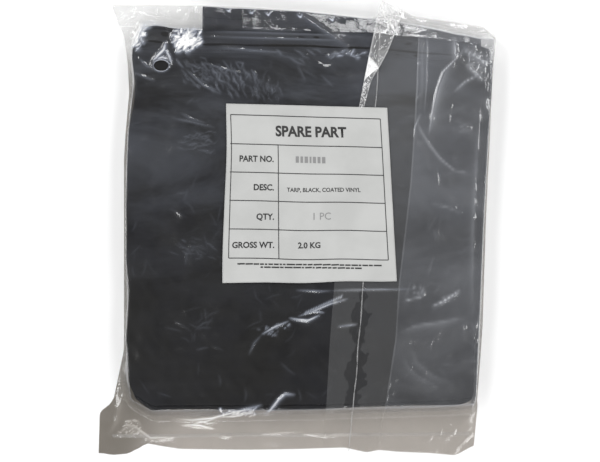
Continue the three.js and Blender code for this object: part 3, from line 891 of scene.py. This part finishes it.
def build_side_hem(name, low, node):
    across = np.array([1, 6, 11, 16, 21]) * MM
    section = [(a, low) for a in across] + [(a, low + HEM_THICK) for a in across[::-1]]
    path, growth = leaf_path(dense=40)
    hem = along_leaves(name, np.array(section), path, growth)
    finish_piece(hem, tape, [node])
    return hem


tarp, tarp_flat = build_tarp()
hems = [
    build_side_hem("side_hem_outer", FACE_HIGH + AIR, "tarp_side_hem_outer"),
    build_side_hem("side_hem_inner", PLY[2] + VINYL / 2 + 2 * AIR, "tarp_side_hem_inner"),
]


def on_top(a, b, rise):
    """A point on the top leaf, at a height above its upper face."""
    return in_stack(a, b, np.broadcast_to(TOP + rise, np.broadcast(a, b).shape))


def build_end_hem():
    """The hem across the top leaf's free end: a band on its upper face, with softly rounded long edges."""
    across = np.linspace(3 * MM, WIDE - 3 * MM, 150)
    up = LONG + (np.array([0, 0.15, 0.6, 3, 7, 8.2, 9.4, 13, 19.2, 19.7, 19.9]) - 20.2) * MM
    rise = np.array([0.05, 0.3, 0.5, 0.5, 0.5, 0.75, 0.5, 0.5, 0.5, 0.3, 0.05]) * MM
    points = on_top(across[None, :], up[:, None], rise[:, None])
    hem = mesh_object("end_hem", points, grid_faces(len(up), len(across)))
    thicken(hem, 0.3 * MM, -1)
    finish_piece(hem, tape, ["tarp_end_hem"])
    return hem


STITCH_PITCH, STITCH_LONG, STITCH_THICK = 3.4 * MM, 2.3 * MM, 0.5 * MM
STITCH_INSET = 18 * MM  # from the stack's sides to the first and last stitch


def build_stitches(rows, rings=6, sides=6):
    """Lock stitches on the top leaf: short raised thread loops that dip into the hem at both ends."""
    points, faces = [], []
    round_thread = np.linspace(0, 2 * math.pi, sides, endpoint=False)[None, :]
    t = np.linspace(0, 1, rings)[:, None]
    body = STITCH_THICK / 2 * np.sqrt(np.sin(math.pi * (0.06 + 0.88 * t)))
    rise = 0.55 * MM + body * np.sin(round_thread)
    for b in rows:
        for start in np.arange(STITCH_INSET, WIDE - STITCH_INSET, STITCH_PITCH):
            first = len(points) * rings * sides
            a = start + STITCH_LONG * t + 0 * round_thread
            points.append(on_top(a, b + body * np.cos(round_thread), rise).reshape(-1, 3))
            faces.append(first + grid_faces(rings, sides, closed=True))
            for cap in ([0, 1, 4, 5], [1, 2, 3, 4]):
                faces.append(first + np.array([cap, [c + (rings - 1) * sides for c in cap[::-1]]]))
    piece = mesh_object("hem_stitches", np.concatenate(points), np.concatenate(faces))
    outward(piece)
    finish_piece(piece, thread, ["hem_thread"])
    return piece


end_hem = build_end_hem()
hem_stitches = build_stitches([LONG - 17.5 * MM, LONG - 11 * MM])


SKIRT_Z = LEAF_Z[4] + FACE_HIGH + AIR
SKIRT_LONG = 150 * MM  # most of it hidden between the leaves
SKIRT_UNDER = 1.4 * MM  # how far its free end hangs below the film


def build_skirt():
    """The single layer between the two uppermost leaves, which stands out past the top of the stack."""
    across = np.linspace(SKIRT_LEFT - 0.2 * MM, SKIRT_RIGHT, 150)[None, :]
    share = np.concatenate([np.linspace(0, 0.85, 10), np.linspace(0.87, 1, 26)])[:, None]
    x = across + 0 * share
    y = skirt_edge(x) - (1 - share) * SKIRT_LONG
    inside = SKIRT_Z * vinyl_height(x, y) / TOP
    under_film = lift(x, y) * (vinyl_height(x, y) + FILM_AIR) - SKIRT_UNDER
    under_film = under_film + 0.35 * MM * swell(x, y, 26 * MM, 73)
    z = np.minimum(inside, under_film)
    skirt = sheet_mesh("end_skirt", x, y, z)
    thicken(skirt, VINYL, -1)
    finish_piece(skirt, vinyl, ["tarp_end_skirt"])
    band = slice(-14, None)  # the last rows, up to the free edge
    hem = sheet_mesh("skirt_hem", x[band], y[band], z[band] + 0.25 * MM)
    thicken(hem, 0.2 * MM, -1)
    finish_piece(hem, tape, ["tarp_skirt_hem"])


build_skirt()

# ==== the polybag

VENT = (-125.2 * MM, 148.4 * MM)
VENT_SIZE = (6.8 * MM, 4.8 * MM)  # half width and half height


def bag_grid(below_x, within_x, above_x, below_y, within_y, above_y):
    p, q = bag_lines(below_x, within_x, above_x), bag_lines(below_y, within_y, above_y)
    return plan(p[None, :] + 0 * q[:, None], q[:, None] + 0 * p[None, :])


def build_back():
    x, y = bag_grid(8, 90, 8, 26, 100, 14)
    z = 0.12 * MM + 0 * x
    back = sheet_mesh("bag_back", x, y, z)
    finish_piece(back, film_back, ["bag_back_film"])


def build_front():
    """The front film, with the vent hole punched through it and its rim turned up. The rim carries a painted
    highlight, brightest on its upper and lower lips.
    """
    x, y = bag_grid(18, 370, 18, 70, 390, 40)
    across, up = (x - VENT[0]) / VENT_SIZE[0], (y - VENT[1]) / VENT_SIZE[1]
    away = np.hypot(across, up)
    faces = grid_faces(*x.shape)
    faces = faces[~(away < 1).ravel()[faces].all(axis=1)]
    pull = 1 / np.clip(away, 1e-3, 1)
    x, y = VENT[0] + across * pull * VENT_SIZE[0], VENT[1] + up * pull * VENT_SIZE[1]
    past, bearing = np.abs(np.maximum(away, 1) - 1), np.arctan2(up, across)
    lip = np.exp(-past * 3.2) * (1.5 + 1.1 * np.sin(bearing))
    z = front_height(x, y) + MM * lip * (away < 6)
    # Painted highlight round the vent's rim, brightest at its top and bottom.
    rim_highlight = np.exp(-past * 9) * (away < 3) * (0.55 - 0.35 * np.cos(bearing) ** 2)
    milk_and_sheen = np.maximum(front_milk_and_sheen(x, y), rim_highlight)
    front = mesh_object("bag_front", np.stack([x, y, z], axis=-1), faces, milk_and_sheen)
    finish_piece(front, film_front, ["bag_front_film"])
    return front


def band_grid(left, right, columns):
    """A grid up the bag between two edges that give x for a y."""
    q = np.linspace(-1, 2, 460)[:, None]
    t = np.linspace(0, 1, columns)[None, :]
    for_p = 0.5 + 0 * t + 0 * q
    _, y = plan(for_p, q + 0 * t)
    for _ in range(2):
        x = left(y) + (right(y) - left(y)) * t
        for_p = (x - stack_left(y)) / (stack_right(y) - stack_left(y))
        _, y = plan(for_p, q + 0 * t)
    return left(y) + (right(y) - left(y)) * t, y


def lap_right(y):
    return flap_left(y) + 1.5 * MM


def build_lap():
    x, y = band_grid(lap_left, lap_right, 64)
    z = front_height(x, y) + LAYER
    # The lap takes on part of the front film's crease whiteness, partly painted highlight.
    lap = sheet_mesh("bag_lap", x, y, z, 0.6 * front_milk_and_sheen(x, y))
    finish_piece(lap, film_lap, ["bag_lap_seam"])
    return lap


def build_bead():
    """The weld line down the lap: a thin raised bead."""
    q = np.linspace(-0.98, 1.3, 420)
    _, y = plan(0.68 + 0 * q, q)
    x = seam_x(y) + 0.5 * MM * swell(y, 0 * y, 60 * MM, 81)
    half = 0.5 * MM * (1 + 0.35 * swell(y, 0 * y, 9 * MM, 82))
    side = np.array([-1, -0.6, 0, 0.6, 1])
    rise = np.array([0, 0.35, 0.5, 0.35, 0]) * MM
    across = x[:, None] + half[:, None] * side[None, :]
    up = y[:, None] + 0 * side[None, :]
    z = front_height(across, up) + 1.6 * LAYER + rise[None, :] * (1 - 0.7 * label_share(across, up))
    bead = sheet_mesh("lap_bead", across, up, z)
    finish_piece(bead, film_bead, ["bag_lap_seam_bead"])
    return bead


FLAP_STROKES = [
    # Two crescent folds below the top end, each a bright line with a softly lit body to its right; the light
    # on both is partly a painted highlight.
    ((117, 84), (121, 112), (125, 130), (130, 143), (138, 151), (146, 159), (151, 167), 0.9, 0.8, 1.2, 0.75),
    ((118, 86), (122, 112), (127, 130), (132, 142), (140, 151), 0.7, 1.0, 7, 0.22),
    ((139, 124), (150, 134), (166, 142), 0.6, 0.9, 2, 0.35),
    ((84, 52), (91, 86), (98, 104), (104, 117), (113, 126), 0.8, 0.8, 1.5, 0.65),
    ((88, 50), (94, 68), (104, 92), (110, 106), 0.7, 0.8, 1.5, 0.5),
    ((86, 50), (92, 70), (101, 96), 0.4, 3.5, 1, 0.12),
    ((104, 104), (110, 90), (117, 78), (128, 64), (140, 54), (160, 49), 0.6, 0.9, 2, 0.25),
    # A flattened tube running down the flap's free edge.
    ((108, 186), (107, 160), (107, 130), (105, 104), 0.3, 0.8, 1, 0.2),
    ((111, 184), (111, 160), (111, 130), (109, 106), 0.3, 4, 1, 0.1),
    ((116, 186), (115.5, 160), (115, 130), (113, 104), 0.35, 0.8, 1, 0.25),
    ((140, 174), (141, 164), (141, 152), 1.3, 2, 2, 0.3),
    ((97, 146), (104, 150), (112, 152), 0.75, 1, 2, 0.4),
    ((84, 158), (96, 162), (104, 168), 0.75, 1, 2, 0.4),
    ((148, 166), (158, 158), (168, 152), (176, 158), 1.18, 1.5, 2, 0.4),
    ((150, 150), (160, 142), (168, 134), 1.12, 1.5, 2, 0.4),
    ((118, 24), (134, 20), (148, 14), 0.7, 1.25, 1, 0.12),
    ((118.6, -70), (130, -65), (146, -55), 0.87, 1, 2, 0.5),
    ((128, -62), (138, -60), (146, -54), 0.68, 0.9, 1, 0.4),
    ((94, -65), (102, -63), (112, -61), 0.68, 0.9, 1, 0.4),
    ((90, -93), (106, -87), (126, -84), (152, -79), 0.5, 1.4, 4, 0.15),
    ((94, -114), (98, -124), (106, -132), (126, -143), 0.8, 1.75, 3, 0.06),
    ((100, -104), (106, -120), (120, -132), (140, -140), 0.6, 1.75, 3, 0.06),
    ((164, 120), (160, 60), (157, 0), (156, -80), 0.8, 2, 2, 0.1),
]
FLAP_HATCHES = [
    # The crumpled upper corner.
    (121, 30, (160, 152), (12, 14), 130, 14, 1.14, 1.2, 28, 0.15, 0.3),
    (122, 14, (172, 138), (5, 30), 84, 20, 0.96, 1.08, 10, 0.15, 0.12),
    # Arcs and short glints down the right-hand side.
    (123, 12, (150, 92), (14, 8), 170, 16, 0.56, 1.08, 20, 0.5, 0.1),
    (124, 16, (108, -56), (8, 5), 40, 6, 0.72, 0.9, 50, 0.15, 0.2),
    (125, 26, (128, -10), (30, 120), 70, 18, 0.45, 1.2, 50, 0.15, 0.04),
    (126, 14, (158, -96), (6, 30), 60, 16, 0.64, 1.08, 40, 0.15, 0.08),
]

flap_relief = Relief(FLAP_STROKES, FLAP_HATCHES)


def flap_height(x, y):
    extra = flap_relief.at(x, y) * unpressed(x, y)
    extra = extra + 0.4 * MM * ridges(x, y, 30 * MM, 91) * smooth(-0.2, 0.8, swell(x, y, 80 * MM, 95))
    return front_height(x, y) + 1.5 * LAYER + extra


def build_flap():
    inner_x, inner_y = band_grid(flap_left, stack_right, 110)
    outer_x, outer_y = band_grid(stack_right, lambda y: bag_right(y) + 0.2 * MM, 18)
    x = np.concatenate([inner_x, outer_x[:, 1:]], axis=1)
    y = np.concatenate([inner_y, outer_y[:, 1:]], axis=1)
    # The flap's crease whiteness, partly painted highlight.
    milk_and_sheen = flap_relief.milk_and_sheen_at(x, y) * unpressed(x, y)
    flap = sheet_mesh("bag_flap", x, y, flap_height(x, y), milk_and_sheen)
    finish_piece(flap, film_flap, ["bag_side_flap"])


WELD_Y = -189 * MM


def build_weld():
    """The heat weld across the bag's bottom end: a crimped band."""
    across = np.linspace(-172 * MM, 156 * MM, 420)[None, :]
    t = np.linspace(-1, 1, 7)[:, None]
    x = across + 0 * t
    y = WELD_Y + 1.6 * MM * t + 0.8 * MM * swell(x, 0 * x, 120 * MM, 99)
    crimp = 0.15 * MM * (1 + np.sin(2 * math.pi * x / (2.2 * MM))) * (1 - t**2)
    z = front_height(x, y) + 0.25 * MM + crimp
    weld = sheet_mesh("bottom_weld", x, y, z)
    finish_piece(weld, film_weld, ["bag_bottom_weld"])
    return weld


build_back()
front = build_front()
lap = build_lap()
bead = build_bead()
build_flap()
weld = build_weld()


def over_top(x, y):
    """The front film's height, carried on level from just short of the bag's top end."""
    return front_height(x, np.minimum(y, bag_top(x) - 3 * MM))


def build_fin():
    """The lap's free edge at the top end: folded over on itself and half lifted, with a painted highlight on
    its lifted facet, in spots and along both long edges.
    """
    y = np.linspace(109, 190, 170)[:, None] * MM
    t = np.linspace(0, 1, 22)[None, :]
    left = edge((109, 53.6), (140.5, 59.5), (159.5, 63.4), (179.5, 67.5), (190, 70))(y)
    right = edge((109, 58), (135, 65), (147, 72.5), (161, 80), (190, 91.5))(y)
    x = left + (right - left) * t
    y = y + 0 * t
    lean = edge((109, 0), (125, 200), (134, 300), (158, 300), (163, 30), (172, -60), (190, 60))(y)
    far = edge((109, 0), (134, 0.2), (147, 1.8), (158, 1.2), (170, 2.2), (190, 0.6))(y)
    rise = (x - left) * lean * 0.9 + far * t**3 + 0.5 * MM * ridges(x, y * 0.6, 9 * MM, 66)
    z = over_top(x, y) + 2.2 * LAYER + rise + 0.4 * MM
    # Painted highlight: a bright facet, glint spots and bright long edges, carried as the fin's whiteness.
    facet = 11.5 * MM * (1 - t) - np.abs(y - 145.5 * MM)
    facet_highlight = 0.8 * smooth(-0.6 * MM, 0.8 * MM, facet) * (0.7 + 0.3 * ridges(x, y, 8 * MM, 68))
    glint_spots = 0.45 * smooth(0.5, 0.9, ridges(x * 1.5, y, 7 * MM, 69)) * smooth(136, 128, y / MM)
    edges = 0.26 * np.exp(-((t * 12) ** 2)) + 0.18 * np.exp(-(((1 - t) * 12) ** 2))
    facet_highlight = np.maximum(np.maximum(facet_highlight, glint_spots), edges)
    fin = sheet_mesh("bag_fin", x, y, z, facet_highlight)
    finish_piece(fin, film_fin)


def build_tail():
    """A crumpled strip of film that runs out over the bag's top end beside the lap."""
    spine = np.array([(77, 184, 0), (81, 193, 1.5), (85, 205, 2.5)]) * MM  # x, y and height over the film
    at, t = np.linspace(0, 1, len(spine)), np.linspace(0, 1, 60)
    x, y, over = (np.interp(t, at, spine[:, k]) for k in range(3))
    wide = np.interp(t, at, np.array([19, 22, 21]) * MM)[:, None]
    tilt = np.radians(np.interp(t, at, [8, -14, 16]))[:, None]
    heading = np.stack([np.gradient(x), np.gradient(y)], axis=1)
    heading /= np.linalg.norm(heading, axis=1)[:, None]
    side = np.linspace(-0.5, 0.5, 24)[None, :] * wide
    x = x[:, None] - side * np.cos(tilt) * heading[:, 1:]
    y = y[:, None] + side * np.cos(tilt) * heading[:, :1]
    crumpled = ridges(x * 2, y, 14 * MM, 8)
    rise = over[:, None] + side * np.sin(tilt) + np.abs(wide * np.sin(tilt)) / 2 + 0.5 * MM * crumpled
    # Its crumples are whitened: painted sheen on the ridges over a little even cloudiness.
    tail = sheet_mesh("bag_tail", x, y, over_top(x, y) + 0.8 * MM + rise, 0.45 * crumpled + 0.12)
    finish_piece(tail, film_fin)


build_fin()
build_tail()

# ==== the label

LABEL_CORNERS = np.array([[-69.5, -48.6], [88.2, -46.8], [79.5, 110.2], [-65.9, 114.1]]) * MM
TABLE_CORNERS = np.array([[-64.1, -25.9], [80.5, -27.7], [73.2, 100.0], [-62.3, 104.1]]) * MM
PAPER = 0.2 * MM


def between(corners, u, v):
    """The place a share u across and a share v up a four-cornered outline."""
    u, v = np.asarray(u)[..., None], np.asarray(v)[..., None]
    low = corners[0] + u * (corners[1] - corners[0])
    high = corners[3] + u * (corners[2] - corners[3])
    return low + v * (high - low)


def on_label(u, v, rise=0.0):
    """A point on the label: u runs 0 to 1 to the right and v 0 to 1 upwards, on its upper face."""
    place = between(LABEL_CORNERS, u, v)
    x, y = place[..., 0], place[..., 1]
    x = x + 0.7 * MM * swell(y, 0 * y, 110 * MM, 61) * (1 - u)
    y = y + 0.6 * MM * swell(x, 0 * x, 90 * MM, 62) * (1 - v)
    rim = np.exp(-np.minimum(np.minimum(u, 1 - u), np.minimum(v, 1 - v)) * 30)
    curl = 0.3 * MM * rim * (1 + swell(x, y, 45 * MM, 63))
    z = smooth_vinyl(x, y) + FILM_AIR + 3 * LAYER + PAPER + curl
    return np.stack([x, y, z + rise], axis=-1)


def build_label():
    u, v = np.meshgrid(np.linspace(0, 1, 90), np.linspace(0, 1, 90))
    label = mesh_object("label", on_label(u, v), grid_faces(90, 90))
    thicken(label, PAPER, -1)
    finish_piece(label, paper, ["paper_label"])


INK_RISE = 0.1 * MM
HALF_RULE = 0.0026  # half a ruled line's width, as a share of the label's


def bar(u0, v0, u1, v1):
    """A printed bar between two places on the label."""
    columns = max(2, int(abs(u1 - u0) * 70) + 2)
    rows = max(2, int(abs(v1 - v0) * 70) + 2)
    u, v = np.meshgrid(np.linspace(u0, u1, columns), np.linspace(v0, v1, rows))
    return mesh_object("mark", on_label(u, v, INK_RISE), grid_faces(rows, columns))


CAPITAL = 0.72  # height of the built-in font's capitals


def lettering(text, u, v, height, align, bold):
    """Plain printed lettering, laid on the label. height is a capital's height as a share of the label's."""
    curve = bpy.data.curves.new("mark", "FONT")
    curve.body = text
    curve.align_x = align
    curve.resolution_u = 3
    curve.offset = bold
    holder = bpy.data.objects.new("mark", curve)
    bpy.context.scene.collection.objects.link(holder)
    bpy.context.view_layer.update()
    mesh = bpy.data.meshes.new_from_object(holder.evaluated_get(bpy.context.evaluated_depsgraph_get()))
    bpy.data.objects.remove(holder)
    places = np.array([vertex.co for vertex in mesh.vertices]) * (height / CAPITAL)
    placed = on_label(u + places[:, 0], v + places[:, 1], INK_RISE)
    mesh.vertices.foreach_set("co", placed.ravel())
    mesh.update()
    piece = bpy.data.objects.new("mark", mesh)
    bpy.context.scene.collection.objects.link(piece)
    return piece


def join(name, parts, material):
    """Makes one piece of several printed marks."""
    chosen = {"active_object": parts[0], "selected_editable_objects": parts, "selected_objects": parts}
    with bpy.context.temp_override(**chosen):
        bpy.ops.object.join()
    parts[0].name = name
    finish_piece(parts[0], material)


def on_share(place):
    """The label's own (u, v) for a place on it, by Newton's method."""
    u, v, nudge = 0.5, 0.5, 0.01
    for _ in range(12):
        here = on_label(u, v)[:2]
        du = (on_label(u + nudge, v)[:2] - here) / nudge
        dv = (on_label(u, v + nudge)[:2] - here) / nudge
        step = np.linalg.solve(np.stack([du, dv], axis=1), place - here)
        u, v = u + step[0], v + step[1]
    return u, v


def print_label():
    """A plain parts table: ruled rows, a divider, generic headings, and bars in place of some values."""
    dark, pale = [], []

    def table(s, t):
        """The label's (u, v) for a share s across the table and a share t up it."""
        return on_share(between(TABLE_CORNERS, s, t))

    def rule(first, second):
        (u0, v0), (u1, v1) = first, second
        level = abs(u1 - u0) > abs(v1 - v0)
        t, side = np.meshgrid(np.linspace(0, 1, 60), (-HALF_RULE, HALF_RULE))
        u = u0 + (u1 - u0) * t + side * (not level)
        v = v0 + (v1 - v0) * t + side * level
        dark.append(mesh_object("mark", on_label(u, v, INK_RISE), grid_faces(2, 60)))

    rows = [0, 0.203, 0.402, 0.6, 0.797, 1]
    for t in rows:
        rule(table(0, t), table(1, t))
    for s in (0, 1):
        rule(table(s, 0), table(s, 1))
    divider = 0.315
    rule(table(divider, 0), table(divider, rows[4]))

    def write(target, text, s, t, height, align="LEFT", bold=0.0):
        u, v = table(s, t)
        target.append(lettering(text, u, v, height, align, bold))

    for text, t in (("PART NO.", 0.677), ("DESC.", 0.478), ("QTY.", 0.273), ("GROSS WT.", 0.075)):
        write(dark, text, divider - 0.028, t, 0.034, "RIGHT", 0.03)
    write(dark, "SPARE PART", 0.30, 0.86, 0.058, bold=0.035)
    write(dark, "TARP, BLACK, COATED VINYL", divider + 0.055, 0.47, 0.0235, bold=0.02)
    write(pale, "1 PC", divider + 0.21, 0.275, 0.042)
    write(dark, "2.0 KG", divider + 0.12, 0.075, 0.033, bold=0.03)
    s = divider + 0.115
    for width in (0.024, 0.02, 0.026, 0.014, 0.024, 0.022, 0.026):
        u, v = table(s, 0.675)
        pale.append(bar(u, v, u + width * 0.8, v + 0.036))
        s += width + 0.007
    rng = np.random.default_rng(5)
    for t, s, stop in ((-0.045, 0.055, 0.955), (-0.066, 0.2, 0.8)):
        while s < stop:
            width = rng.uniform(0.012, 0.05)
            u, v = table(s, t)
            dark.append(bar(u, v, u + width, v + 0.0085))
            s += width + 0.008
    join("label_print", dark, ink)
    join("label_pale_print", pale, pale_ink)


build_label()
print_label()

# ==== floor and light


def build_floor():
    half = 12.0
    corners = [(-half, -half), (half, -half), (half, half), (-half, half)]
    floor = mesh_object("floor", [(x, y, -0.4 * MM) for x, y in corners], [[0, 1, 2, 3]])
    s = Shader("floor")
    white = s.add("BsdfPrincipled", {"Base Color": grey(0.93), "Roughness": 0.8})
    floor.data.materials.append(s.shown(white.outputs[0]))


SOFTBOX = 0.34  # how wide a softbox is


def softbox_ring(name, start, radius, height, energies):
    """Square softboxes evenly round the pack, all turned to its middle. start is the first one's bearing."""
    for k, energy in enumerate(energies):
        light = bpy.data.lights.new(f"{name}_{k}", "AREA")
        light.shape, light.energy = "SQUARE", energy
        light.size = SOFTBOX
        holder = bpy.data.objects.new(light.name, light)
        bpy.context.scene.collection.objects.link(holder)
        angle = math.radians(start + 360 / len(energies) * k)
        holder.location = (radius * math.cos(angle), radius * math.sin(angle), height)
        holder.rotation_euler = (-holder.location).to_track_quat("-Z", "Y").to_euler()


def build_light():
    """A pale studio dome, dim overhead, and two rings of small softboxes round the pack."""
    world = bpy.data.worlds.new("studio")
    world.use_nodes = True
    tree = world.node_tree
    up = tree.nodes.new("ShaderNodeSeparateXYZ")
    tree.links.new(tree.nodes.new("ShaderNodeTexCoord").outputs["Generated"], up.inputs[0])
    dim = tree.nodes.new("ShaderNodeMapRange")
    tree.links.new(up.outputs["Z"], dim.inputs["Value"])
    for name, value in (("From Min", 0.45), ("From Max", 0.95), ("To Min", 0.75), ("To Max", 0.06)):
        dim.inputs[name].default_value = value
    tree.links.new(dim.outputs[0], tree.nodes["Background"].inputs["Strength"])
    tree.nodes["Background"].inputs["Color"].default_value = (1, 1, 1, 1)
    bpy.context.scene.world = world
    softbox_ring("softbox", 20, 0.86, 1.3, (3.3, 3.6, 3.8, 3.3, 2.9, 2.9))
    softbox_ring("low_softbox", 55, 1.35, 0.85, (2.0, 2.0, 2.0, 2.0))
    bpy.context.scene.view_settings.view_transform = "Standard"


build_floor()
build_light()
